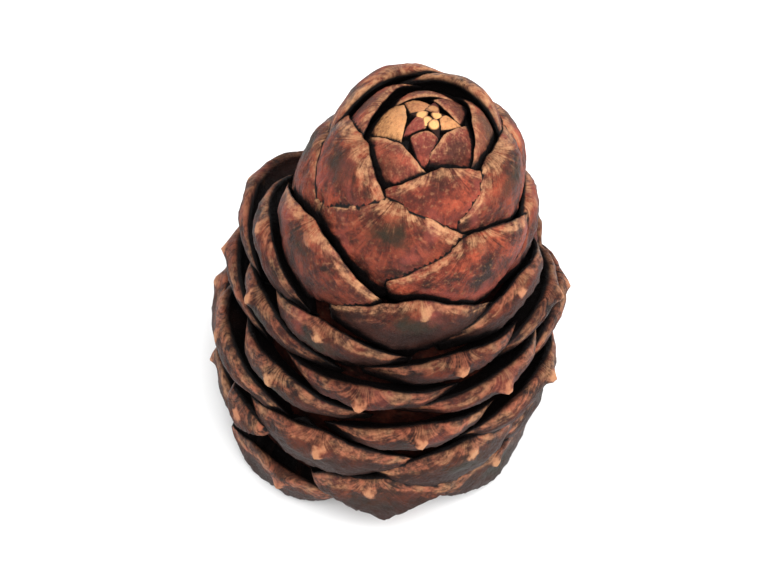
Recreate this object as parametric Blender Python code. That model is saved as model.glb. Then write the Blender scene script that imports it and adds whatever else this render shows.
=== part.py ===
"""A closed cone of the Siberian stone pine, standing on its base with its tip up.

The cone grew as one woody piece, so it is one object. Its scales sit on a golden-angle spiral round
the axis. Each scale is a thick woody wedge: its free margin points up the cone, its broad outer face
bulges, and its foot is sunk in the core. Metres, +Z up, origin on the ground under the middle.
"""

import math

import bmesh
import bpy
import numpy as np
from mathutils import Matrix

MM = 0.001

# The spiral runs from the bud at the top (scale 0) down to the stalk.
GOLDEN_ANGLE = math.pi * (3.0 - math.sqrt(5.0))
SCALE_COUNT = 84
SCALES_PER_ROW = 13
FIRST_AZIMUTH = math.radians(-198.2)

# The axis leans to the right, and the shoulder under the crown is pressed in at the back.
LEAN = 0.10
LEAN_PIVOT = 30.0 * MM
PRESS = 0.24
PRESS_AZIMUTH = math.radians(160.0)
PRESS_FROM, PRESS_TO = 15, 40
PRESS_SPREAD = 1.5

# Scale number, then the radius and the height of the tip of its free margin.
TIP_LINE = (
    (0, 1.1 * MM, 79.8 * MM),
    (4, 2.6 * MM, 79.4 * MM),
    (8, 5.6 * MM, 79.0 * MM),
    (12, 10.2 * MM, 77.2 * MM),
    (17, 14.8 * MM, 73.0 * MM),
    (23, 19.8 * MM, 62.0 * MM),
    (31, 24.2 * MM, 50.0 * MM),
    (39, 27.0 * MM, 40.7 * MM),
    (47, 28.2 * MM, 31.7 * MM),
    (55, 28.0 * MM, 21.5 * MM),
    (62, 27.4 * MM, 11.6 * MM),
    (64, 26.4 * MM, 8.0 * MM),
    (67, 22.9 * MM, 4.2 * MM),
    (71, 19.5 * MM, 1.8 * MM),
    (78, 14.5 * MM, 1.0 * MM),
    (88, 9.0 * MM, 1.6 * MM),
    (98, 6.0 * MM, 2.6 * MM),
)

# Scale number, then how far its margin stands off the face behind it.
STAND_OFF = (
    (0, 1.0 * MM),
    (4, 1.3 * MM),
    (12, 1.8 * MM),
    (17, 2.6 * MM),
    (21, 5.2 * MM),
    (34, 6.2 * MM),
    (60, 5.6 * MM),
    (70, 2.8 * MM),
    (98, 1.2 * MM),
)

# Scale number, then the half width of its outer face.
HALF_WIDTH = (
    (0, 1.6 * MM),
    (4, 2.6 * MM),
    (8, 5.2 * MM),
    (12, 9.6 * MM),
    (17, 12.0 * MM),
    (26, 13.2 * MM),
    (60, 12.8 * MM),
    (68, 9.0 * MM),
    (78, 5.5 * MM),
    (98, 3.5 * MM),
)

# Scale number, then the width of its foot as a share of its shoulders, and the thickness of its lip.
FOOT_WIDTH = ((0, 2.2), (6, 1.6), (12, 0.9), (18, 0.6), (26, 0.5), (98, 0.5))
LIP = ((0, 0.7 * MM), (12, 1.0 * MM), (20, 1.5 * MM), (34, 2.2 * MM), (60, 2.4 * MM), (98, 1.4 * MM))

# Scale number, then how far the section bulges at its upper and its lower point, as shares of its length.
BULGE = (
    (0, 0.06, 0.0),
    (6, 0.08, 0.02),
    (11, 0.17, 0.03),
    (16, 0.24, 0.03),
    (51, 0.24, 0.06),
    (58, 0.25, 0.55),
    (63, 0.25, 0.50),
    (67, 0.20, 0.15),
    (98, 0.20, 0.10),
)
UPPER_AT, LOWER_AT = 0.3, 0.7

# The face falls back in a V at its lower end, where the next scales cover it: scale number, then depth.
FALL = (
    (0, 0.3 * MM),
    (12, 1.0 * MM),
    (17, 2.4 * MM),
    (50, 2.4 * MM),
    (58, 6.0 * MM),
    (63, 5.0 * MM),
    (67, 2.0 * MM),
    (98, 0.5 * MM),
)
FALL_FROM, FALL_TO = 0.60, 0.74
FALL_SLANT = 0.62

# The scales that grew out of line, with how far they are turned, out and up.
OUT_OF_LINE = {
    16: (0.0, 0.6 * MM, 1.8 * MM),
    22: (math.radians(-5.0), 0.8 * MM, 1.2 * MM),
}

# The youngest scales are the smallest, and scales grow to their full size from there.
BUD_SIZE = 0.25
SIZE_GROWTH = 0.05

# A margin drops from its tip to its shoulders by this share of the half width. Part of it is a point.
SHOULDER_DROP = 0.58
TIP_POINT = 0.30
FACE_COLUMNS = (-1.0, -0.7, -0.34, 0.0, 0.34, 0.7, 1.0)
FACE_ROWS = (0.0, 0.25, 0.57, 0.78)
SMALL_FACE_COLUMNS = (-1.0, -0.5, 0.0, 0.5, 1.0)
BIG_FACES = range(9, 67)

# The section of a scale: thin at its free margin, thick further down.
BODY_THICKNESS = 4.6 * MM
BODY_AT = 0.32
TAPER = 1.4
ROUND_OVER = 1.1
LEAST_BEND = 0.8
CORNER_TUCK = 1.5 * MM
TIP_FLARE = 0.20
FLARE_FADE = 6.0
FLARE_CORNER_LOSS = 0.5
ROOT_DEPTH = 9.0 * MM
ROOT_PAST_FOOT = 0.2
LEAST_ROOT_RADIUS = 0.5 * MM

CORE_SIDES = 18
CORE_UNDER_FEET = 1.2 * MM
CORE_RINGS = (8, 13, 18, 24, 32, 42, 52, 62, 72)
STALK_RADIUS = 5.0 * MM
STALK_TOP_RADIUS = 4.0 * MM
STALK_SIDES = 12
STALK_BOTTOM = -1.0 * MM
STALK_TOP = 12.0 * MM

# The block that trims the lowest scales flat on the ground.
CUTTER_REACH = 60.0 * MM
CUTTER_DEPTH = 20.0 * MM

# Growth is never quite even: each scale is a little off its place and size.
JITTER_SEED = 12
TURN_JITTER = math.radians(1.6)
TIP_JITTER = 0.5 * MM
WIDTH_JITTER = 0.05

WOOD_COLOUR = (0.33, 0.135, 0.085, 1.0)
WOOD_ROUGHNESS = 0.62


def smooth_through(stations, column, at):
    """The value of a column of the stations at a scale number, on a smooth curve through them."""
    place = np.array([row[0] for row in stations], float)
    value = np.array([row[column] for row in stations], float)
    slope = np.gradient(value, place)
    i = int(np.clip(np.searchsorted(place, at) - 1, 0, len(place) - 2))
    span = place[i + 1] - place[i]
    t = (at - place[i]) / span
    return float(
        (2 * t**3 - 3 * t**2 + 1) * value[i]
        + (t**3 - 2 * t**2 + t) * span * slope[i]
        + (3 * t**2 - 2 * t**3) * value[i + 1]
        + (t**3 - t**2) * span * slope[i + 1]
    )


def smooth_step(low, high, at):
    share = min(1.0, max(0.0, (at - low) / (high - low)))
    return share * share * (3.0 - 2.0 * share)


def tip_at(number):
    """Radius and height of the tip line at a scale number."""
    return np.array([smooth_through(TIP_LINE, column, number) for column in (1, 2)])


def outward_at(number):
    """Unit normal of the tip line, as radius and height, pointing away from the cone."""
    down = tip_at(number + 0.5) - tip_at(number - 0.5)
    normal = np.array([-down[1], down[0]])
    return normal / np.linalg.norm(normal)


def foot_at(number):
    """Where a scale's face ends: behind the margin of the scale one row further down."""
    covered = number + SCALES_PER_ROW
    return tip_at(covered) - smooth_through(STAND_OFF, 1, covered) * outward_at(covered)


def pressed(number, azimuth):
    """How much of its radius a scale keeps where the crown is pressed in."""
    share = (number - PRESS_FROM) / (PRESS_TO - PRESS_FROM)
    weight = math.sin(math.pi * share) if 0.0 < share < 1.0 else 0.0
    facing = 0.5 + 0.5 * math.cos(azimuth - PRESS_AZIMUTH)
    return 1.0 - PRESS * weight * facing**PRESS_SPREAD


def make_material():
    material = bpy.data.materials.new("cone_wood")
    material.use_nodes = True
    shader = material.node_tree.nodes["Principled BSDF"]
    shader.inputs["Base Color"].default_value = WOOD_COLOUR
    shader.inputs["Roughness"].default_value = WOOD_ROUGHNESS
    shader.inputs["Metallic"].default_value = 0.0
    return material


def on_cone(radius, sideways, height, azimuth):
    """A point in space. Azimuth 0 faces -Y and grows towards +X, and the whole cone leans to +X."""
    return (
        LEAN * (height - LEAN_PIVOT) + radius * math.sin(azimuth) + sideways * math.cos(azimuth),
        sideways * math.sin(azimuth) - radius * math.cos(azimuth),
        height,
    )


def new_object(name, vertices, faces):
    mesh = bpy.data.meshes.new(name)
    mesh.from_pydata(vertices, [], faces)
    built = bmesh.new()
    built.from_mesh(mesh)
    bmesh.ops.recalc_face_normals(built, faces=built.faces)
    built.to_mesh(mesh)
    built.free()
    obj = bpy.data.objects.new(name, mesh)
    bpy.context.scene.collection.objects.link(obj)
    return obj


def make_scale(number, draws):
    """One scale as a closed wedge: outer face, free margin, and an inner face that runs to its root."""
    turn, out, up, wide = draws
    more_turn, more_out, more_up = OUT_OF_LINE.get(number, (0.0, 0.0, 0.0))
    azimuth = FIRST_AZIMUTH + GOLDEN_ANGLE * number + TURN_JITTER * turn + more_turn
    size = min(1.0, BUD_SIZE + SIZE_GROWTH * number)
    tip = tip_at(number) + TIP_JITTER * size * np.array([out, up]) + np.array([more_out, more_up])
    foot = foot_at(number)
    for point, place in ((tip, number), (foot, number + SCALES_PER_ROW)):
        point[0] *= pressed(place, azimuth)
    chord = foot - tip
    length = np.linalg.norm(chord)
    normal = np.array([-chord[1], chord[0]]) / length
    upper, lower = (
        tip + share * chord + smooth_through(BULGE, column, number) * length * normal
        for column, share in ((1, UPPER_AT), (2, LOWER_AT))
    )
    half_width = smooth_through(HALF_WIDTH, 1, number) * (1.0 + WIDTH_JITTER * wide)
    shoulder = SHOULDER_DROP * half_width / length
    foot_width = smooth_through(FOOT_WIDTH, 1, number)
    bend = max(0.5 * (tip[0] + foot[0]), LEAST_BEND * half_width)
    tip_flare = TIP_FLARE * smooth_through(STAND_OFF, 1, number)
    fall = smooth_through(FALL, 1, number)
    columns = FACE_COLUMNS if number in BIG_FACES else SMALL_FACE_COLUMNS
    root = foot - ROOT_DEPTH * size * normal + ROOT_PAST_FOOT * chord
    root[0] = max(root[0], LEAST_ROOT_RADIUS)

    def face_point(u, v, depth):
        """A point under the outer face: u across it, v from its free margin (0) to its foot (1)."""
        drop = shoulder * (TIP_POINT * abs(u) + (1.0 - TIP_POINT) * u * u)
        t = drop + (1.0 - drop) * v
        left = 1.0 - t
        along = left**3 * tip + 3 * left**2 * t * upper + 3 * left * t**2 * lower + t**3 * foot
        sideways = u * half_width * (1.0 - (1.0 - foot_width) * v**TAPER)
        dip = ROUND_OVER * sideways * sideways / (2.0 * bend) + CORNER_TUCK * size * u**4
        flare = tip_flare * math.exp(-FLARE_FADE * t) * (1.0 - FLARE_CORNER_LOSS * u * u)
        covered = fall * smooth_step(FALL_FROM, FALL_TO, v + FALL_SLANT * abs(u))
        radius, height = along + (flare - dip - covered - depth) * normal
        return on_cone(radius, sideways, height, azimuth)

    root_width = min(foot_width, 1.0) * half_width * min(1.0, root[0] / bend)
    rows = [[face_point(u, v, 0.0) for u in columns] for v in FACE_ROWS]
    rows.append([on_cone(root[0], u * root_width, root[1], azimuth) for u in columns])
    rows.append([face_point(u, BODY_AT, BODY_THICKNESS * size) for u in columns])
    rows.append([face_point(u, 0.0, smooth_through(LIP, 1, number)) for u in columns])
    count = len(columns)
    vertices = [point for row in rows for point in row]
    faces = []
    for row in range(len(rows)):
        here, after = row * count, (row + 1) % len(rows) * count
        for column in range(count - 1):
            faces.append((here + column, here + column + 1, after + column + 1, after + column))
    for side in (0, count - 1):
        ring = [row * count + side for row in range(len(rows))]
        outer, root_row, body_row, edge_row = ring[:4], ring[4], ring[5], ring[6]
        faces.append((outer[0], outer[1], body_row, edge_row))
        faces.append((outer[1], outer[2], body_row))
        faces.append((outer[2], outer[3], root_row, body_row))
    return new_object(f"scale_{number:02d}", vertices, faces)


def make_core():
    """The woody middle that all the scales grow from, set well back from their tips."""
    rings = []
    for number in CORE_RINGS:
        depth = smooth_through(STAND_OFF, 1, number) + CORE_UNDER_FEET
        rings.append(tip_at(number) - depth * outward_at(number))
    vertices = []
    for radius, height in rings:
        for step in range(CORE_SIDES):
            vertices.append(on_cone(radius, 0.0, height, 2 * math.pi * step / CORE_SIDES))
    faces = []
    for ring in range(len(rings) - 1):
        for step in range(CORE_SIDES):
            a = ring * CORE_SIDES + step
            b = ring * CORE_SIDES + (step + 1) % CORE_SIDES
            faces.append((a, b, b + CORE_SIDES, a + CORE_SIDES))
    last = (len(rings) - 1) * CORE_SIDES
    faces.append(tuple(range(CORE_SIDES)))
    faces.append(tuple(range(last, last + CORE_SIDES)))
    return new_object("core", vertices, faces)


def make_stalk():
    """The broken end of the stalk, flush with the ground."""
    ring = [2 * math.pi * step / STALK_SIDES for step in range(STALK_SIDES)]
    vertices = [on_cone(STALK_RADIUS, 0.0, STALK_BOTTOM, azimuth) for azimuth in ring]
    vertices += [on_cone(STALK_TOP_RADIUS, 0.0, STALK_TOP, azimuth) for azimuth in ring]
    faces = [tuple(range(STALK_SIDES)), tuple(range(STALK_SIDES, 2 * STALK_SIDES))]
    for step in range(STALK_SIDES):
        after = (step + 1) % STALK_SIDES
        faces.append((step, after, after + STALK_SIDES, step + STALK_SIDES))
    return new_object("stalk", vertices, faces)


def make_ground_cutter():
    """A block under the ground plane, which trims the lowest scales flat."""
    around = ((-1, -1), (1, -1), (1, 1), (-1, 1))
    corners = [(x * CUTTER_REACH, y * CUTTER_REACH, z) for z in (-CUTTER_DEPTH, 0.0) for x, y in around]
    faces = [(0, 1, 2, 3), (4, 5, 6, 7)]
    faces += [(i, (i + 1) % 4, (i + 1) % 4 + 4, i + 4) for i in range(4)]
    return new_object("ground_cutter", corners, faces)


def apply_boolean(target, operation, other=None, collection=None):
    modifier = target.modifiers.new(operation.lower(), "BOOLEAN")
    modifier.operation = operation
    modifier.solver = "MANIFOLD"
    if collection:
        modifier.operand_type = "COLLECTION"
        modifier.collection = collection
    else:
        modifier.object = other
    bpy.context.view_layer.update()
    graph = bpy.context.evaluated_depsgraph_get()
    result = bpy.data.meshes.new_from_object(target.evaluated_get(graph))
    target.modifiers.clear()
    target.data = result


def keep_outer_shell(obj):
    """Fills the hollows that fusing sealed in, and drops any loose scrap: only the largest shell stays."""
    built = bmesh.new()
    built.from_mesh(obj.data)
    waiting = set(built.faces)
    shells = []
    while waiting:
        shell, open_faces = [], [waiting.pop()]
        while open_faces:
            face = open_faces.pop()
            shell.append(face)
            for edge in face.edges:
                for other in edge.link_faces:
                    if other in waiting:
                        waiting.remove(other)
                        open_faces.append(other)
        shells.append(shell)
    shells.sort(key=len)
    for shell in shells[:-1]:
        bmesh.ops.delete(built, geom=shell, context="FACES")
    built.to_mesh(obj.data)
    built.free()


def centre_over_origin(obj):
    """Moves the mesh sideways, so that the middle of its bounding box is over the origin."""
    points = np.array([vertex.co for vertex in obj.data.vertices])
    middle = 0.5 * (points.min(axis=0) + points.max(axis=0))
    obj.data.transform(Matrix.Translation((-middle[0], -middle[1], 0.0)))


def main():
    for obj in list(bpy.data.objects):
        bpy.data.objects.remove(obj, do_unlink=True)

    draws = np.random.default_rng(JITTER_SEED).uniform(-1.0, 1.0, (SCALE_COUNT, 4))
    cone = make_core()
    cone.name = "cone"
    grown = bpy.data.collections.new("grown")
    bpy.context.scene.collection.children.link(grown)
    scales = [make_scale(number, draws[number]) for number in range(SCALE_COUNT)]
    for piece in scales + [make_stalk()]:
        bpy.context.scene.collection.objects.unlink(piece)
        grown.objects.link(piece)
    apply_boolean(cone, "UNION", collection=grown)
    for piece in list(grown.objects):
        bpy.data.objects.remove(piece, do_unlink=True)
    cutter = make_ground_cutter()
    apply_boolean(cone, "DIFFERENCE", other=cutter)
    bpy.data.objects.remove(cutter, do_unlink=True)
    keep_outer_shell(cone)
    centre_over_origin(cone)
    cone.data.materials.clear()
    cone.data.materials.append(make_material())


main()
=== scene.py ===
"""A closed cone of a stone pine, standing on its stalk end in a plain studio. Lengths are in metres."""

import math

import bpy
import numpy as np
from mathutils import Euler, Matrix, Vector


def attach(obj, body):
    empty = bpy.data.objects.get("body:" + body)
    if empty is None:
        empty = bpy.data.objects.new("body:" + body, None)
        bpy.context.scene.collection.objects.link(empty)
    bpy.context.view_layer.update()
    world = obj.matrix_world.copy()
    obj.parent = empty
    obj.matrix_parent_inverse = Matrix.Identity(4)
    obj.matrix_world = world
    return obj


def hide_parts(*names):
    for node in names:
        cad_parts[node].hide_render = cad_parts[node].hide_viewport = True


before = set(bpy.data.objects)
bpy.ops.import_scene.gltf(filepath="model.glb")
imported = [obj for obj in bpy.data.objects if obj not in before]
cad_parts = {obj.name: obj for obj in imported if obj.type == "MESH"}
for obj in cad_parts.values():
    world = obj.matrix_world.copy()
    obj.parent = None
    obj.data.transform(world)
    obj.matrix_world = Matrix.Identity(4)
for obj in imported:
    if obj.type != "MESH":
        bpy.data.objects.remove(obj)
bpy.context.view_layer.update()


# The scales. Each is a thick woody blade that grew from the core. They sit on a golden-angle spiral,
# from the bud at the tip to the stalk, and overlap like tiles: the free margin points up the cone,
# the bulging outer face runs down behind the margins of the next row, and the foot joins the core.

MM = 0.001

# One scale follows the next by the golden angle, and about thirteen of them make a row. The first
# ones, numbered below 0, are the tiny scales in the middle of the bud.
GOLDEN_ANGLE = math.pi * (3.0 - math.sqrt(5.0))
FIRST_AZIMUTH = math.radians(-198.2)
SCALE_COUNT = 84
BUD_SCALES = 4
SCALES_PER_ROW = 13

# The cone leans a little to the right, and its shoulder is pressed in at the back.
LEAN = 0.10
LEAN_PIVOT = 28.0 * MM
PRESS = 0.24
PRESS_AZIMUTH = math.radians(160.0)
PRESS_FROM = 15
PRESS_TO = 40
PRESS_SHARPNESS = 1.5

# How much each scale strays from its place on the spiral: its turn, its tip and its width.
JITTER_SEED = 12
TURN_JITTER = math.radians(1.6)
TIP_JITTER = 0.5 * MM
WIDTH_JITTER = 0.05

# The tables run along the spiral: each row begins with the number of a scale, 0 at the tip of the cone.
# This one holds the radius and the height of the scale's own tip.
TIP_LINE = (
    (-4, 0.3 * MM, 80.0 * MM),
    (0, 1.1 * MM, 79.8 * MM),
    (4, 2.6 * MM, 79.4 * MM),
    (8, 5.6 * MM, 79.0 * MM),
    (12, 10.2 * MM, 77.2 * MM),
    (17, 14.8 * MM, 73.0 * MM),
    (23, 19.8 * MM, 62.0 * MM),
    (31, 24.2 * MM, 50.0 * MM),
    (39, 27.0 * MM, 40.7 * MM),
    (47, 28.2 * MM, 31.7 * MM),
    (55, 28.0 * MM, 21.5 * MM),
    (62, 27.4 * MM, 11.6 * MM),
    (64, 26.4 * MM, 8.0 * MM),
    (67, 22.9 * MM, 4.2 * MM),
    (71, 19.5 * MM, 1.8 * MM),
    (78, 14.5 * MM, 1.0 * MM),
    (88, 9.0 * MM, 1.6 * MM),
    (98, 6.0 * MM, 2.6 * MM),
)

# How far the tip stands off the face behind it.
STAND_OFF = (
    (-4, 0.7 * MM),
    (4, 1.3 * MM),
    (12, 1.8 * MM),
    (17, 2.6 * MM),
    (21, 5.2 * MM),
    (34, 6.2 * MM),
    (60, 5.6 * MM),
    (70, 2.8 * MM),
    (98, 1.2 * MM),
)

# How thick the margin is.
LIP = (
    (-4, 0.35 * MM),
    (6, 0.7 * MM),
    (11, 1.0 * MM),
    (14, 2.4 * MM),
    (17, 2.4 * MM),
    (22, 1.7 * MM),
    (34, 2.2 * MM),
    (60, 2.4 * MM),
    (98, 1.4 * MM),
)

# How high the knob at the tip is.
KNOB = (
    (-4, 0.05 * MM),
    (14, 0.1 * MM),
    (22, 0.5 * MM),
    (30, 1.0 * MM),
    (60, 1.1 * MM),
    (98, 0.8 * MM),
)

# Half the width of the face, and the width of its foot as a share of its shoulders.
HALF_WIDTH = (
    (-4, 1.3 * MM),
    (0, 1.9 * MM),
    (4, 3.0 * MM),
    (8, 6.6 * MM),
    (12, 10.6 * MM),
    (17, 12.4 * MM),
    (26, 13.2 * MM),
    (60, 12.8 * MM),
    (68, 10.2 * MM),
    (78, 7.6 * MM),
    (98, 5.0 * MM),
)
FOOT_WIDTH = ((-4, 2.4), (0, 2.2), (6, 1.6), (12, 0.9), (18, 0.6), (26, 0.5), (98, 0.5))

# How far the section bulges at its upper and its lower point, as shares of its length.
BULGE = (
    (-4, 0.04, 0.0),
    (2, 0.06, 0.0),
    (7, 0.15, 0.05),
    (11, 0.22, 0.05),
    (16, 0.24, 0.03),
    (51, 0.24, 0.06),
    (58, 0.25, 0.55),
    (63, 0.25, 0.50),
    (67, 0.20, 0.15),
    (98, 0.20, 0.10),
)

# How far the face falls back where the next scales cover it, and how far down it that begins.
FALL = (
    (-4, 1.2 * MM),
    (3, 1.0 * MM),
    (12, 1.0 * MM),
    (17, 2.4 * MM),
    (50, 2.4 * MM),
    (58, 6.0 * MM),
    (63, 5.0 * MM),
    (67, 2.0 * MM),
    (98, 0.5 * MM),
)
FALL_FROM = ((-4, 0.34), (0, 0.36), (4, 0.50), (8, 0.60), (98, 0.60))

# The scales of the lowest row in front, whose faces hang unevenly: how far down each runs before it falls
# back, how far its foot is turned to the right, and how much further its lower half bulges.
HANGING = {
    56: (0.20, 0.0, 0.0),
    59: (0.50, math.radians(15.0), 0.30),
    62: (0.60, math.radians(8.0), 0.75),
    64: (0.60, math.radians(-14.0), 0.80),
}

# The scales that grew out of line, with how far each is turned, out and up: the tallest one behind the
# dome, the one at its left, and two that stand out as the left shoulder.
OUT_OF_LINE = {
    16: (0.0, 0.6 * MM, 1.8 * MM),
    22: (math.radians(-5.0), 0.8 * MM, 1.2 * MM),
    27: (0.0, 1.5 * MM, 0.0),
    32: (math.radians(4.0), 4.5 * MM, 1.0 * MM),
}

# The margin's flare as a share of the stand-off, where the section's two middle points lie along it, the
# tightest that a face is bent across, and how the scales grow from the bud to full size.
FLARE = 0.20
UPPER_AT = 0.3
LOWER_AT = 0.7
TIGHTEST_BEND = 0.8
BUD_SIZE = 0.25
FULL_GROWTH = 20


def smooth_through(stations, column, at):
    """The value of a column of the stations at a scale number, on a smooth curve through them."""
    place = np.array([row[0] for row in stations], float)
    value = np.array([row[column] for row in stations], float)
    slope = np.gradient(value, place)
    i = int(np.clip(np.searchsorted(place, at) - 1, 0, len(place) - 2))
    span = place[i + 1] - place[i]
    t = (at - place[i]) / span
    return float(
        (2 * t**3 - 3 * t**2 + 1) * value[i]
        + (t**3 - 2 * t**2 + t) * span * slope[i]
        + (3 * t**2 - 2 * t**3) * value[i + 1]
        + (t**3 - t**2) * span * slope[i + 1]
    )


def tip_at(number):
    """Radius and height of the tip line at a scale number."""
    return np.array([smooth_through(TIP_LINE, column, number) for column in (1, 2)])


def outward_at(number):
    """Unit normal of the tip line, as radius and height, pointing away from the cone."""
    down = tip_at(number + 0.5) - tip_at(number - 0.5)
    normal = np.array([-down[1], down[0]])
    return normal / np.linalg.norm(normal)


def behind_tip(number, more=0.0):
    """A point behind the tip of a scale, on the face that it stands off from, or deeper."""
    return tip_at(number) - (smooth_through(STAND_OFF, 1, number) + more) * outward_at(number)


def pressed(number, azimuth):
    """How much of its radius a scale keeps where the shoulder is pressed in at the back."""
    share = (number - PRESS_FROM) / (PRESS_TO - PRESS_FROM)
    weight = math.sin(math.pi * share) if 0.0 < share < 1.0 else 0.0
    facing = 0.5 + 0.5 * math.cos(azimuth - PRESS_AZIMUTH)
    return 1.0 - PRESS * weight * facing**PRESS_SHARPNESS


def on_cone(radius, height, azimuth):
    """A point in space. Azimuth 0 faces -Y and grows towards +X, and the whole cone leans to +X."""
    return np.array([
        LEAN * (height - LEAN_PIVOT) + radius * math.sin(azimuth),
        -radius * math.cos(azimuth),
        height,
    ])


def place_scale(number, draws):
    """What the node tree needs to know of one scale: its section's four points, its directions and sizes."""
    turn, out, up, wide = draws
    more_turn, more_out, more_up = OUT_OF_LINE.get(number, (0.0, 0.0, 0.0))
    azimuth = FIRST_AZIMUTH + GOLDEN_ANGLE * number + TURN_JITTER * turn + more_turn
    size = float(np.clip(BUD_SIZE + number / FULL_GROWTH, BUD_SIZE, 1.0))
    tip = tip_at(number) + TIP_JITTER * size * np.array([out, up]) + np.array([more_out, more_up])
    foot = behind_tip(number + SCALES_PER_ROW)
    for point, place in ((tip, number), (foot, number + SCALES_PER_ROW)):
        point[0] *= pressed(place, azimuth)
    chord = foot - tip
    length = np.linalg.norm(chord)
    normal = np.array([-chord[1], chord[0]]) / length
    half_width = smooth_through(HALF_WIDTH, 1, number) * (1.0 + WIDTH_JITTER * wide)
    fall_from = smooth_through(FALL_FROM, 1, number)
    fall_from, foot_turn, more_bulge = HANGING.get(number, (fall_from, 0.0, 0.0))
    upper = smooth_through(BULGE, 1, number) * length * normal
    lower = (smooth_through(BULGE, 2, number) + more_bulge) * length * normal
    return {
        "tip": on_cone(*tip, azimuth),
        "upper": on_cone(*(tip + UPPER_AT * chord + upper), azimuth),
        "lower": on_cone(*(tip + LOWER_AT * chord + lower), azimuth + foot_turn),
        "foot": on_cone(*foot, azimuth + foot_turn),
        "side": np.array([math.cos(azimuth), math.sin(azimuth), 0.0]),
        "outward": on_cone(normal[0], 0.0, azimuth) - on_cone(0.0, -normal[1], azimuth),
        "length": length,
        "half_width": half_width,
        "foot_width": smooth_through(FOOT_WIDTH, 1, number),
        "bend_radius": max(0.5 * (tip[0] + foot[0]), TIGHTEST_BEND * half_width),
        "flare": FLARE * smooth_through(STAND_OFF, 1, number),
        "lip": smooth_through(LIP, 1, number),
        "fall": smooth_through(FALL, 1, number),
        "fall_from": fall_from,
        "knob": smooth_through(KNOB, 1, number) * size,
        "size": size,
        "number": float(number),
    }


BLANK_COLUMNS = 45
BLANK_ROWS = 42
TO_THE_SIDES = 0.35
TO_THE_MARGIN = 1.25


def make_blank():
    """A blank scale: a closed sleeve whose points hold where they lie on the scale, in an attribute.

    x runs across from -1 to 1, y down the face from the margin at 0 to the foot at 1, and z through
    the wood from the outer face at 0 to the inner at 1. Round the lip of the margin, y is below 0.
    The points crowd a little towards the sides and the margin.
    """
    crowded = np.sin(np.linspace(-0.5 * math.pi, 0.5 * math.pi, BLANK_COLUMNS))
    even = np.linspace(-1.0, 1.0, BLANK_COLUMNS)
    columns = crowded * TO_THE_SIDES + even * (1.0 - TO_THE_SIDES)
    section = [(0.0, y, 0.0) for y in np.linspace(0.0, 1.0, BLANK_ROWS) ** TO_THE_MARGIN]
    section += [(0.0, y, 1.0) for y in (1.0, 0.75, 0.5, 0.3, 0.15, 0.05, 0.0)]
    section += [(0.0, -math.sin(math.pi * z), z) for z in (0.85, 0.7, 0.5, 0.3, 0.15)]
    round_it = len(section)
    points = [(x, y, z) for x in columns for _, y, z in section]
    faces = []
    for column in range(len(columns) - 1):
        for place in range(round_it):
            after = (place + 1) % round_it
            a = column * round_it
            b = a + round_it
            faces.append((a + place, a + after, b + after, b + place))
    faces.append(tuple(reversed(range(round_it))))
    faces.append(tuple(range(len(points) - round_it, len(points))))
    mesh = bpy.data.meshes.new("scale_blank")
    mesh.from_pydata(points, [], faces)
    for polygon in mesh.polygons:
        polygon.use_smooth = True
    on_scale = mesh.attributes.new("on_scale", "FLOAT_VECTOR", "POINT")
    on_scale.data.foreach_set("vector", np.array(points, np.float32).ravel())
    return bpy.data.objects.new("scale_blank", mesh)


class Wire:
    """An output of a node tree that can be added, multiplied and so on, so that formulas read as such."""

    def __init__(self, tree, socket):
        self.tree = tree
        self.socket = socket

    def node(self, kind, inputs, output=0, **settings):
        """One output of a new node, whose inputs are given in their order or by name, as wires or values."""
        made = self.tree.nodes.new(kind)
        for name, value in settings.items():
            setattr(made, name, value)
        sockets = [socket for socket in made.inputs if socket.enabled]
        pairs = inputs.items() if isinstance(inputs, dict) else enumerate(inputs)
        for key, value in pairs:
            socket = sockets[key] if isinstance(key, int) else next(s for s in sockets if s.name == key)
            if isinstance(value, Wire):
                self.tree.links.new(value.socket, socket)
            else:
                socket.default_value = value
        outputs = [socket for socket in made.outputs if socket.enabled]
        return Wire(self.tree, outputs[output])

    def is_vector(self):
        return self.socket.type == "VECTOR"

    def math(self, operation, *others):
        return self.node("ShaderNodeMath", (self, *others), operation=operation)

    def __add__(self, other):
        if self.is_vector():
            return self.node("ShaderNodeVectorMath", (self, other), operation="ADD")
        return self.math("ADD", other)

    def __sub__(self, other):
        if self.is_vector():
            return self.node("ShaderNodeVectorMath", (self, other), operation="SUBTRACT")
        return self.math("SUBTRACT", other)

    def __mul__(self, other):
        if self.is_vector():
            return self.node("ShaderNodeVectorMath", {"Vector": self, "Scale": other}, operation="SCALE")
        return self.math("MULTIPLY", other)

    def __rsub__(self, other):
        return self.math("MULTIPLY", -1.0).math("ADD", other)

    def __rmul__(self, other):
        return self * other

    def __truediv__(self, other):
        return self.math("DIVIDE", other)

    def __pow__(self, other):
        return self.math("POWER", other)

    def ramp(self, low, high, to_low=0.0, to_high=1.0):
        """A smooth step from one value to another as this one goes from low to high."""
        given = (self, low, high, to_low, to_high)
        return self.node("ShaderNodeMapRange", given, interpolation_type="SMOOTHSTEP")

    def noise(self, scale, detail=3.0, roughness=0.5):
        """Even noise round 0, from -0.5 to 0.5, at this place."""
        key = "Vector" if self.is_vector() else "W"
        dimensions = "3D" if self.is_vector() else "1D"
        inputs = {key: self, "Scale": scale, "Detail": detail, "Roughness": roughness}
        return self.node("ShaderNodeTexNoise", inputs, noise_dimensions=dimensions) - 0.5

    def parts(self):
        """The three numbers of a vector."""
        split = self.node("ShaderNodeSeparateXYZ", (self,)).socket.node
        return [Wire(self.tree, split.outputs[i]) for i in range(3)]


# The rays that feel how shut in a point is, for the shade painted into the gaps: how many go out, how far
# above the wood they start, and how much they lean outwards, which is just enough for none to run into it.
RAYS = 12
RAY_LIFT = 0.08 * MM
RAY_LEAN = 1.02


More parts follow.
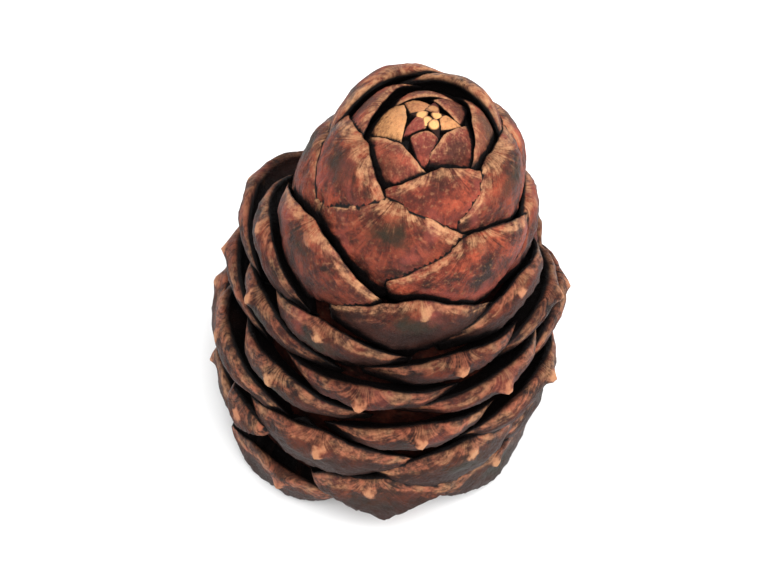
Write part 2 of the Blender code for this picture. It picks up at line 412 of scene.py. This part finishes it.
def make_scale_tree():
    """The node tree that bends a copy of the blank into every scale."""
    tree = bpy.data.node_groups.new("grow_scales", "GeometryNodeTree")
    tree.interface.new_socket("Geometry", in_out="OUTPUT", socket_type="NodeSocketGeometry")
    tree.interface.new_socket("Scale points", in_out="INPUT", socket_type="NodeSocketGeometry")
    tree.interface.new_socket("Blank", in_out="INPUT", socket_type="NodeSocketObject")
    tree.interface.new_socket("Wood", in_out="INPUT", socket_type="NodeSocketMaterial")
    sizes = {
        "Shoulder drop": 0.58,
        "Tip point": 0.30,
        "Margin waviness": 0.09,
        "Narrowing": 1.4,
        "Bend across": 0.55,
        "Flare fade": 6.0,
        "Corner tuck": 1.5 * MM,
        "Fall slant": 0.62,
        "Fall length": 0.14,
        "Roll over": 0.7 * MM,
        "Roll length": 1.3 * MM,
        "Body thickness": 4.4 * MM,
        "Body from": 0.35,
        "Corner thickness": 1.02,
        "Knob place": 0.9 * MM,
        "Knob radius": 1.2 * MM,
        "Knob wander": 9.0 * MM,
        "Ridge fan start": 3.0 * MM,
        "Ridge height": 0.7 * MM,
        "Lump height": 1.5 * MM,
        "Grain height": 0.45 * MM,
        "Crevice reach": 8.0 * MM,
        "Ground gap": 0.1 * MM,
        "First scale": 0.0,
        "Last scale": 0.0,
    }
    for name, value in sizes.items():
        socket = tree.interface.new_socket(name, in_out="INPUT", socket_type="NodeSocketFloat")
        socket.default_value = value
    given = tree.nodes.new("NodeGroupInput")
    start = Wire(tree, given.outputs["Scale points"])

    def size_of(name):
        return Wire(tree, given.outputs[name])

    def stored(name, kind="FLOAT"):
        return start.node("GeometryNodeInputNamedAttribute", {"Name": name}, data_type=kind)

    blank = start.node("GeometryNodeObjectInfo", {"Object": size_of("Blank")}, output=4)
    copies = start.node("GeometryNodeInstanceOnPoints", {"Points": start, "Instance": blank})
    grown = start.node("GeometryNodeRealizeInstances", {"Geometry": copies})

    u, y, depth = stored("on_scale", "FLOAT_VECTOR").parts()
    v = y.math("MAXIMUM", 0.0)
    lip = y.math("MINIMUM", 0.0)
    number = stored("number")
    length = stored("length")
    half_width = stored("half_width")
    size = stored("size")
    lip_thickness = stored("lip")

    # The margin drops from its tip to the shoulders, in a worn and slightly torn line.
    point = size_of("Tip point")
    drop = (point * u.math("ABSOLUTE") + (1.0 - point) * u * u) * size_of("Shoulder drop")
    worn = (u * 1.3 + number * 7.31).noise(2.6, 4.0, 0.6) * size_of("Margin waviness")
    drop = (drop + worn) * half_width / length
    along = drop + (1.0 - drop) * v + lip * lip_thickness * 0.5 / length

    # The middle line of the face is a curve through the section's four points.
    left = 1.0 - along
    middle = (
        stored("tip", "FLOAT_VECTOR") * (left * left * left)
        + stored("upper", "FLOAT_VECTOR") * (left * left * along * 3.0)
        + stored("lower", "FLOAT_VECTOR") * (left * along * along * 3.0)
        + stored("foot", "FLOAT_VECTOR") * (along * along * along)
    )
    narrowing = (1.0 - stored("foot_width")) * v ** size_of("Narrowing")
    sideways = u * half_width * (1.0 - narrowing)
    dip = sideways * sideways * size_of("Bend across") / stored("bend_radius")
    dip = dip + size_of("Corner tuck") * size * u**4.0
    flare = stored("flare") * (along * size_of("Flare fade") * -1.0).math("EXPONENT") * (1.0 - 0.5 * u * u)

    # The wood is thin at the lip, thick in the body, and fades out at the corners.
    body = size_of("Body thickness") * size
    thickness = lip_thickness + (body - lip_thickness) * v.ramp(0.0, size_of("Body from"))
    thickness = thickness * (size_of("Corner thickness") - u**6.0)

    # A knob at the tip, ridges that fan out from it, and the lumps and grain of weathered wood.
    down = along * length
    off_tip = down - size_of("Knob place")
    off_middle = sideways - (number * 2.3).noise(11.0) * size_of("Knob wander")
    spread = (off_middle * off_middle + off_tip * off_tip) / (size_of("Knob radius") ** 2.0)
    torn = (number * 3.7).noise(9.0).ramp(-0.15, 0.15, 0.2, 1.35)
    knob = (spread * -1.0).math("EXPONENT") * stored("knob") * torn
    off_knob = spread**0.5
    fan = sideways.math("ARCTAN2", down + size_of("Ridge fan start"))
    away = off_knob.ramp(1.0, 5.0)
    ridges = (fan + number * 5.13).noise(7.0, 5.0, 0.65) * away
    here = middle + stored("side", "FLOAT_VECTOR") * sideways
    lumps = here.noise(170.0, 2.0)
    grain = here.noise(700.0, 3.0)
    weathering = ridges * size_of("Ridge height") + lumps * size_of("Lump height")
    weathering = weathering + grain * size_of("Grain height")
    rolled = (v * length / size_of("Roll length") * -1.0).math("EXPONENT") * size_of("Roll over") * size
    covered = v + u.math("ABSOLUTE") * size_of("Fall slant") - stored("fall_from")
    covered = covered.ramp(0.0, size_of("Fall length"))
    relief = (knob + weathering * size) * (1.0 - depth) - rolled - stored("fall") * covered

    rise = flare - dip - depth * thickness + relief
    there = here + stored("outward", "FLOAT_VECTOR") * rise
    x, y, z = there.parts()
    there = x.node("ShaderNodeCombineXYZ", (x, y, z.math("MAXIMUM", size_of("Ground gap"))))
    moved = start.node("GeometryNodeSetPosition", {"Geometry": grown, "Position": there})

    # What the finish needs to know at each point.
    kept = {
        "on_face": ("FLOAT_VECTOR", sideways.node("ShaderNodeCombineXYZ", (sideways, down, depth))),
        "weathering": ("FLOAT_VECTOR", ridges.node("ShaderNodeCombineXYZ", (ridges, lumps, grain))),
        "off_knob": ("FLOAT", off_knob),
    }
    for name, (kind, value) in kept.items():
        inputs = {"Geometry": moved, "Name": name, "Value": value}
        moved = start.node("GeometryNodeStoreNamedAttribute", inputs, data_type=kind)

    # How shut in each point is, for the painted shade in the gaps: rays go out all round it, and what they
    # meet soon shuts it in.
    wanted = number.math("GREATER_THAN", size_of("First scale") - 0.5)
    wanted = wanted * number.math("LESS_THAN", size_of("Last scale") + 0.5)
    part = start.node("GeometryNodeSeparateGeometry", {"Geometry": moved, "Selection": wanted})
    normal = start.node("GeometryNodeInputNormal", ())
    place = start.node("GeometryNodeInputPosition", ())
    reach = size_of("Crevice reach")
    shut = None
    for i in range(RAYS):
        height = 1.0 - (2 * i + 1) / RAYS
        out = math.sqrt(1.0 - height**2)
        turned = GOLDEN_ANGLE * i
        way = normal * RAY_LEAN + Vector((out * math.cos(turned), out * math.sin(turned), height))
        ray = {
            "Target Geometry": moved,
            "Source Position": place + normal * RAY_LIFT,
            "Ray Direction": way,
            "Ray Length": reach,
        }
        hit = start.node("GeometryNodeRaycast", ray)
        distance = Wire(tree, hit.socket.node.outputs["Hit Distance"])
        met = hit * (1.0 - distance / reach)
        shut = met if shut is None else shut + met
    shut = shut * (1.0 / RAYS)
    inputs = {"Geometry": part, "Name": "shut_in", "Value": shut}
    part = start.node("GeometryNodeStoreNamedAttribute", inputs, data_type="FLOAT")
    whole = start.node("GeometryNodeRealizeInstances", {"Geometry": part})
    dressed = start.node("GeometryNodeSetMaterial", {"Geometry": whole, "Material": size_of("Wood")})
    result = tree.nodes.new("NodeGroupOutput")
    tree.links.new(dressed.socket, result.inputs["Geometry"])
    return tree


def grow(name, first, last, tree, blank, wood):
    """The scales from first to last as one plain mesh. The bud's tiny ones share the last ones' draws."""
    draws = np.random.default_rng(JITTER_SEED).uniform(-1.0, 1.0, (SCALE_COUNT, 4))
    placed = [place_scale(number, draws[number]) for number in range(-BUD_SCALES, SCALE_COUNT)]
    mesh = bpy.data.meshes.new(name + "_points")
    mesh.from_pydata([scale["tip"] for scale in placed], [], [])
    for key, value in placed[0].items():
        vector = isinstance(value, np.ndarray)
        kind, field = ("FLOAT_VECTOR", "vector") if vector else ("FLOAT", "value")
        stored = mesh.attributes.new(key, kind, "POINT")
        stored.data.foreach_set(field, np.array([scale[key] for scale in placed], np.float32).ravel())
    points = bpy.data.objects.new(name + "_points", mesh)
    bpy.context.scene.collection.objects.link(points)
    modifier = points.modifiers.new("grow", "NODES")
    modifier.node_group = tree
    given = {"Blank": blank, "Wood": wood, "First scale": float(first), "Last scale": float(last)}
    for item in tree.interface.items_tree:
        if item.in_out == "INPUT" and item.name in given:
            modifier[item.identifier] = given[item.name]
    bpy.context.view_layer.update()
    graph = bpy.context.evaluated_depsgraph_get()
    grown = bpy.data.objects.new(name, bpy.data.meshes.new_from_object(points.evaluated_get(graph)))
    bpy.data.objects.remove(points, do_unlink=True)
    bpy.context.scene.collection.objects.link(grown)
    return grown


def dress(piece):
    """Ties a finished piece to the cone of the frame."""
    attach(piece, "root")
    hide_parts("cone")


DEEP_BROWN = (0.019, 0.0060, 0.0038, 1.0)
RED_BROWN = (0.120, 0.0200, 0.0105, 1.0)
SALMON = (0.35, 0.064, 0.029, 1.0)
ROSE = (0.28, 0.060, 0.045, 1.0)
GREY_BROWN = (0.075, 0.040, 0.024, 1.0)
LOW_SHADE = (0.28, 0.28, 0.28, 1.0)
STAIN = (0.016, 0.014, 0.007, 1.0)
PALE_TAN = (0.47, 0.235, 0.115, 1.0)
CORAL = (0.44, 0.135, 0.07, 1.0)
BUD_ORANGE = (0.85, 0.42, 0.16, 1.0)
# Painted shade: the black of the gaps between the scales and of the core.
SHADE_BLACK = (0.003, 0.0015, 0.0015, 1.0)
WOOD_SPECULAR = 0.15
WOOD_ROUGHNESS = (0.45, 0.75)
WOOD_BUMP = 0.5 * MM
SCALE_BLOTCHES = 4.0 * MM
FIBRE_FAN_START = 2.5 * MM

# The middle of the stain and of the bead, down from the tip of their scale, and how far each reaches.
STAIN_DOWN = 3.2 * MM
STAIN_CORE = 0.6 * MM
STAIN_EDGE = 3.4 * MM
STAIN_RAGGED = 5.0 * MM
BEAD_DOWN = 0.8 * MM
BEAD_CORE = 0.6 * MM
BEAD_EDGE = 1.0 * MM


def mix(factor, under, over, blend="MIX"):
    """One colour over another, as much as the factor says."""
    inputs = {"Factor": factor, "A": under, "B": over}
    return factor.node("ShaderNodeMix", inputs, data_type="RGBA", blend_type=blend)


def attribute(tree, name, output="Fac"):
    """What the growing of the scales stored on the mesh under this name."""
    node = tree.nodes.new("ShaderNodeAttribute")
    node.attribute_name = name
    return Wire(tree, node.outputs[output])


def make_mottle():
    """Dry, sun-bleached conifer wood: a mottled colour and a fine height, at a place on the object."""
    group = bpy.data.node_groups.new("mottled_wood", "ShaderNodeTree")
    group.interface.new_socket("Place", in_out="INPUT", socket_type="NodeSocketVector")
    group.interface.new_socket("Blotch size", in_out="INPUT", socket_type="NodeSocketFloat")
    for name, kind in (("Colour", "NodeSocketColor"), ("Height", "NodeSocketFloat")):
        group.interface.new_socket(name, in_out="OUTPUT", socket_type=kind)
    given = group.nodes.new("NodeGroupInput")
    place = Wire(group, given.outputs["Place"])
    blotch_size = Wire(group, given.outputs["Blotch size"])
    broad = place.noise(blotch_size ** -1.0, 5.0, 0.62)
    ramp = group.nodes.new("ShaderNodeValToRGB")
    stops = ramp.color_ramp.elements
    stops.new(0.50)
    for stop, position, colour in zip(stops, (0.36, 0.50, 0.66), (DEEP_BROWN, RED_BROWN, SALMON)):
        stop.position = position
        stop.color = colour
    group.links.new((broad + 0.5).socket, ramp.inputs["Fac"])
    fine = place.noise(1400.0, 4.0, 0.6)
    colour = mix(fine.ramp(0.04, 0.2, 0.0, 0.30), Wire(group, ramp.outputs["Color"]), PALE_TAN)
    colour = mix(fine.ramp(-0.02, -0.2, 0.0, 0.6), colour, DEEP_BROWN)
    out = group.nodes.new("NodeGroupOutput")
    group.links.new(colour.socket, out.inputs["Colour"])
    group.links.new((broad * 0.4 + fine * 0.6 + 0.5).socket, out.inputs["Height"])
    return group


def mottled(tree, mottle, place, blotch_size):
    """The colour and the fine height of mottled wood in a material, with blotches of this size."""
    node = tree.nodes.new("ShaderNodeGroup")
    node.node_tree = mottle
    tree.links.new(place.socket, node.inputs["Place"])
    node.inputs["Blotch size"].default_value = blotch_size
    return Wire(tree, node.outputs["Colour"]), Wire(tree, node.outputs["Height"])


def finish_wood(tree, colour, fine):
    """Dry wood with hardly a sheen, a little rougher where its fine height stands up."""
    shader = tree.nodes["Principled BSDF"]
    shader.inputs["Specular IOR Level"].default_value = WOOD_SPECULAR
    tree.links.new(colour.socket, shader.inputs["Base Color"])
    tree.links.new(fine.ramp(0.3, 0.8, *WOOD_ROUGHNESS).socket, shader.inputs["Roughness"])


def make_scale_wood(mottle):
    """The scales' finish: fibres that fan from the knob, a stain under it, pale worn margins, and painted
    shade down the faces and in the gaps.
    """
    material = bpy.data.materials.new("scale_wood")
    material.use_nodes = True
    tree = material.node_tree
    coordinates = tree.nodes.new("ShaderNodeTexCoord")
    place = Wire(tree, coordinates.outputs["Object"])
    height = place.parts()[2]
    sideways, down, depth = attribute(tree, "on_face", "Vector").parts()
    from_margin = attribute(tree, "on_scale", "Vector").parts()[1]
    ridges, lumps, grain = attribute(tree, "weathering", "Vector").parts()
    number = attribute(tree, "number")
    knob_height = attribute(tree, "knob")
    size = attribute(tree, "size")
    shut_in = attribute(tree, "shut_in")
    own = number.node("ShaderNodeTexWhiteNoise", {"W": number}, noise_dimensions="1D")
    in_bud = number.ramp(0.5, -0.5)
    near_bud = number.ramp(12.0, 7.0)
    crown = number.ramp(32.0, 18.0)
    below_crown = number.ramp(19.0, 26.0)

    colour, fine = mottled(tree, mottle, place, SCALE_BLOTCHES)

    # Fibres fan out from the knob, and what stands up is worn paler than what lies deep.
    fan = sideways.math("ARCTAN2", down + FIBRE_FAN_START)
    away = (sideways * sideways + down * down) ** 0.5
    fibre_place = fan.node("ShaderNodeCombineXYZ", (fan * 9.0, away * 90.0, number * 3.7))
    fibres = fibre_place.noise(1.6, 6.0, 0.7)
    worn = ridges * 0.6 + lumps * 0.7 + grain * 0.7 + fibres * 0.8
    colour = mix(worn.ramp(-0.02, -0.30, 0.0, 0.85), colour, DEEP_BROWN)
    colour = mix(worn.ramp(0.02, 0.30, 0.0, 0.7), colour, SALMON)

    # Each scale has a tone of its own; low on the cone they are greyer, and in the crown rosier.
    colour = mix(own.ramp(0.0, 1.0, 0.0, 0.35) * number.ramp(4.0, 14.0), colour, DEEP_BROWN)
    colour = mix(number.ramp(14.0, 8.0, 0.0, 0.4), colour, ROSE)
    colour = mix(height.ramp(45.0 * MM, 12.0 * MM, 0.0, 0.5), colour, GREY_BROWN)
    # Painted shade, partly the darker brown of the lower scales: below 64 mm the colour is multiplied
    # darker, a little less towards the bottom.
    low = height.ramp(64.0 * MM, 50.0 * MM) * height.ramp(20.0 * MM, 40.0 * MM, 0.84, 1.0)
    colour = mix(low, colour, LOW_SHADE, "MULTIPLY")
    bloom = place.noise(110.0, 3.0, 0.6).ramp(0.02, 0.16)
    colour = mix(bloom * height.ramp(20.0 * MM, 60.0 * MM, 0.15, 0.45), colour, ROSE)

    # Below the crown, painted shade darkens each face from a little below its margin downwards.
    colour = mix(down.ramp(1.2 * MM, 6.0 * MM, 0.0, 0.85) * below_crown, colour, DEEP_BROWN)

    # The dark stain under the knob, more on some scales than on others, and the knob, rubbed pale.
    stain_down = down - STAIN_DOWN
    stain = (sideways * sideways * 0.5 + stain_down * stain_down) ** 0.5
    stain = stain + place.noise(400.0, 4.0) * STAIN_RAGGED
    stain = stain.ramp(STAIN_EDGE, STAIN_CORE, 0.0, 0.85) * own.ramp(0.1, 0.6)
    colour = mix(stain * size, colour, STAIN)
    frayed = fibres * 0.8 + place.noise(900.0, 5.0, 0.7) * 0.8 + grain * 0.4
    knob = attribute(tree, "off_knob") + place.noise(800.0, 3.0) * 2.0
    knob = knob.ramp(1.2, 0.4) * (knob_height / MM).ramp(0.1, 0.9)
    colour = mix(knob, colour, mix(own * 0.6 + knob * 0.5 + frayed * 1.2, CORAL, PALE_TAN))

    # Round the bud the small scales are speckled and some are orange, and in it each ends in a pale bead.
    speckle = place.noise(1500.0, 5.0, 0.7)
    colour = mix(near_bud * speckle.ramp(-0.02, -0.22, 0.0, 0.7), colour, DEEP_BROWN)
    colour = mix(near_bud * (speckle - from_margin * 0.15).ramp(0.0, 0.16, 0.0, 0.45), colour, PALE_TAN)
    tinted = (speckle + 0.25 - from_margin * 0.5).ramp(-0.1, 0.25, 0.1, 0.6)
    colour = mix(near_bud * own.ramp(0.6, 0.9) * tinted, colour, BUD_ORANGE)
    bead_down = down - BEAD_DOWN
    bead = ((sideways * sideways + bead_down * bead_down) ** 0.5).ramp(BEAD_EDGE, BEAD_CORE)
    colour = mix(in_bud, colour, DEEP_BROWN)
    colour = mix(bead * in_bud, colour, BUD_ORANGE)

    # The margin is worn pale: a broad frayed band, plainest in the crown, and a thin line along its edge.
    broad_wear = crown * 0.8 + height.ramp(44.0 * MM, 26.0 * MM, 0.20, 0.60)
    broad_edge = from_margin.ramp(0.16, 0.0, 0.0, 0.6) * frayed.ramp(0.0, 0.28) * broad_wear
    colour = mix(broad_edge, colour, mix(own * 0.7 + crown * 0.3, SALMON, PALE_TAN))
    thin_wear = crown * 0.55 + height.ramp(44.0 * MM, 26.0 * MM, 0.50, 0.75)
    thin_edge = from_margin.ramp(0.03, -0.03, 0.0, 0.8) * frayed.ramp(-0.16, 0.20) * thin_wear
    patches = place.noise(260.0, 2.0).ramp(-0.12, 0.14)
    colour = mix(thin_edge, colour, mix(patches + crown, CORAL, PALE_TAN))

    # The gaps are painted in shade: the inner face darker, and black where the rays found the point shut in.
    colour = mix(depth.ramp(0.3, 1.0, 0.0, 0.7), colour, DEEP_BROWN)
    colour = mix((shut_in - worn * 0.10).ramp(0.08, 0.40), colour, SHADE_BLACK)

    bump = tree.nodes.new("ShaderNodeBump")
    bump.inputs["Distance"].default_value = WOOD_BUMP
    bump.inputs["Strength"].default_value = 1.0
    tree.links.new((fibres * 0.9 + fine * 0.8).socket, bump.inputs["Height"])
    tree.links.new(bump.outputs["Normal"], tree.nodes["Principled BSDF"].inputs["Normal"])
    finish_wood(tree, colour, fine)
    return material


mottle = make_mottle()
scale_wood = make_scale_wood(mottle)
blank = make_blank()
tree = make_scale_tree()
for name, first, last in (
    ("crown_scales", -BUD_SCALES, 20),
    ("shoulder_scales", 21, 41),
    ("barrel_scales", 42, 62),
    ("base_scales", 63, SCALE_COUNT - 1),
):
    dress(grow(name, first, last, tree, blank, scale_wood))


# The core is the cone's woody axis, which the scales grew from. It fills the middle, and shows only as
# the dark bottom of the gaps. Its lower end is the scar where the cone broke off its stalk.

# How deep the core lies behind the feet of the scales, by the number of a scale.
CORE_UNDER_FEET = ((6, 3.0 * MM), (14, 4.5 * MM), (24, 2.0 * MM), (34, 0.6 * MM), (98, 0.6 * MM))
CORE_FROM = 10.0
CORE_TO = 84.0
CORE_RINGS = 40
CORE_SIDES = 48
CORE_BLOTCHES = 3.0 * MM
RINGS_PER_METRE = 1400.0
RING_WANDER = 1.2 * MM
BROKEN_WOOD = (0.30, 0.15, 0.075, 1.0)

# Below the second height the painted shade thins out, and at the first the broken wood would be bare.
SCAR_FADES = 1.6 * MM
SHADE_FROM = 3.0 * MM


def make_core():
    """The core as a closed stack of rings behind the feet of the scales, from the bud to the broken end."""
    numbers = np.linspace(CORE_FROM, CORE_TO, CORE_RINGS)
    rings = [behind_tip(number, smooth_through(CORE_UNDER_FEET, 1, number)) for number in numbers]
    points = []
    for radius, height in rings:
        for step in range(CORE_SIDES):
            azimuth = 2.0 * math.pi * step / CORE_SIDES
            points.append(on_cone(radius, height, azimuth))
    faces = []
    for ring in range(len(rings) - 1):
        for step in range(CORE_SIDES):
            a = ring * CORE_SIDES + step
            b = ring * CORE_SIDES + (step + 1) % CORE_SIDES
            faces.append((a, a + CORE_SIDES, b + CORE_SIDES, b))
    last = (len(rings) - 1) * CORE_SIDES
    faces.append(tuple(range(CORE_SIDES)))
    faces.append(tuple(reversed(range(last, last + CORE_SIDES))))
    mesh = bpy.data.meshes.new("core")
    mesh.from_pydata(points, [], faces)
    core = bpy.data.objects.new("core", mesh)
    bpy.context.scene.collection.objects.link(core)
    return core


def make_core_wood(mottle):
    """The core's finish: the same wood, painted almost black as shade, and faintly ringed on its broken end.
    """
    material = bpy.data.materials.new("core_wood")
    material.use_nodes = True
    tree = material.node_tree
    coordinates = tree.nodes.new("ShaderNodeTexCoord")
    place = Wire(tree, coordinates.outputs["Object"])
    colour, fine = mottled(tree, mottle, place, CORE_BLOTCHES)
    x, y, height = place.parts()
    off_axis = (x * x + y * y) ** 0.5 + place.noise(300.0) * RING_WANDER
    ring = off_axis.noise(RINGS_PER_METRE, 2.0) + place.noise(1500.0, 4.0) * 0.6
    # Painted shade: above its broken end the core is painted almost black, as the shaded bottom of the gaps.
    colour = mix(height.ramp(SCAR_FADES, SHADE_FROM, 0.0, 0.85), colour, SHADE_BLACK)
    scar = height.ramp(SHADE_FROM, SCAR_FADES) * ring.ramp(-0.25, 0.25, 0.2, 0.9)
    colour = mix(scar, colour, BROKEN_WOOD)
    finish_wood(tree, colour, fine)
    return material


core = make_core()
core.data.materials.append(make_core_wood(mottle))
dress(core)


# The studio: a plain pale floor, one large soft light above the front of the cone, a weak one from the
# right, and an even pale surround. The camera looks down on the cone from where the photograph was
# taken, through a longer lens, so that the cone fills the frame.

CAMERA_PLACE = Vector((-16.2 * MM, -339.2 * MM, 518.1 * MM))
CAMERA_PITCH = math.radians(47.74)
PHOTO_FOCAL_PX = 1250.5
PHOTO_SIZE_PX = (780, 585)
CONE_MIDDLE_PX = (424.5, 453.5)
ZOOM = 2.87
SENSOR_MM = 36.0
FLOOR_SIZE = 3.0
FLOOR_WHITE = (0.86, 0.86, 0.86, 1.0)
LIT_PLACE = Vector((0.0, 0.0, 40.0 * MM))
SURROUND_WHITE = (1.0, 1.0, 1.0, 1.0)
SURROUND_STRENGTH = 0.95
DOWNWARD = Vector((0.0, 0.0, -1.0))

camera_data = bpy.data.cameras.new("camera")
camera = bpy.data.objects.new("camera", camera_data)
bpy.context.scene.collection.objects.link(camera)
bpy.context.scene.camera = camera
camera_data.sensor_width = SENSOR_MM
camera_data.lens = PHOTO_FOCAL_PX / PHOTO_SIZE_PX[0] * SENSOR_MM * ZOOM
camera_data.clip_start = 10.0 * MM
level = Euler((0.5 * math.pi - CAMERA_PITCH, 0.0, 0.0)).to_quaternion()
aim = Vector((
    (CONE_MIDDLE_PX[0] - 0.5 * PHOTO_SIZE_PX[0]) / PHOTO_FOCAL_PX,
    (0.5 * PHOTO_SIZE_PX[1] - CONE_MIDDLE_PX[1]) / PHOTO_FOCAL_PX,
    -1.0,
))
turn = DOWNWARD.rotation_difference(aim)
camera.rotation_mode = "QUATERNION"
camera.rotation_quaternion = level @ turn
camera.location = CAMERA_PLACE

bpy.ops.mesh.primitive_plane_add(size=FLOOR_SIZE, location=(0.0, 0.0, 0.0))
floor = bpy.context.object
floor.name = "floor"
pale = bpy.data.materials.new("pale_floor")
pale.use_nodes = True
pale_shader = pale.node_tree.nodes["Principled BSDF"]
pale_shader.inputs["Base Color"].default_value = FLOOR_WHITE
pale_shader.inputs["Roughness"].default_value = 0.9
floor.data.materials.append(pale)


def soft_light(name, place, size, power):
    """A round soft light at a place, turned to the middle of the cone."""
    light = bpy.data.lights.new(name, "AREA")
    light.shape = "DISK"
    light.size = size
    light.energy = power
    lamp = bpy.data.objects.new(name, light)
    lamp.location = place
    lamp.rotation_mode = "QUATERNION"
    lamp.rotation_quaternion = DOWNWARD.rotation_difference(LIT_PLACE - Vector(place))
    bpy.context.scene.collection.objects.link(lamp)


soft_light("key", (0.10, -0.38, 0.85), 0.90, 12.0)
soft_light("fill", (0.7, -0.1, 0.5), 0.5, 1.5)
world = bpy.data.worlds.new("surround")
bpy.context.scene.world = world
world.use_nodes = True
world.node_tree.nodes["Background"].inputs["Color"].default_value = SURROUND_WHITE
world.node_tree.nodes["Background"].inputs["Strength"].default_value = SURROUND_STRENGTH
bpy.context.scene.view_settings.view_transform = "Standard"
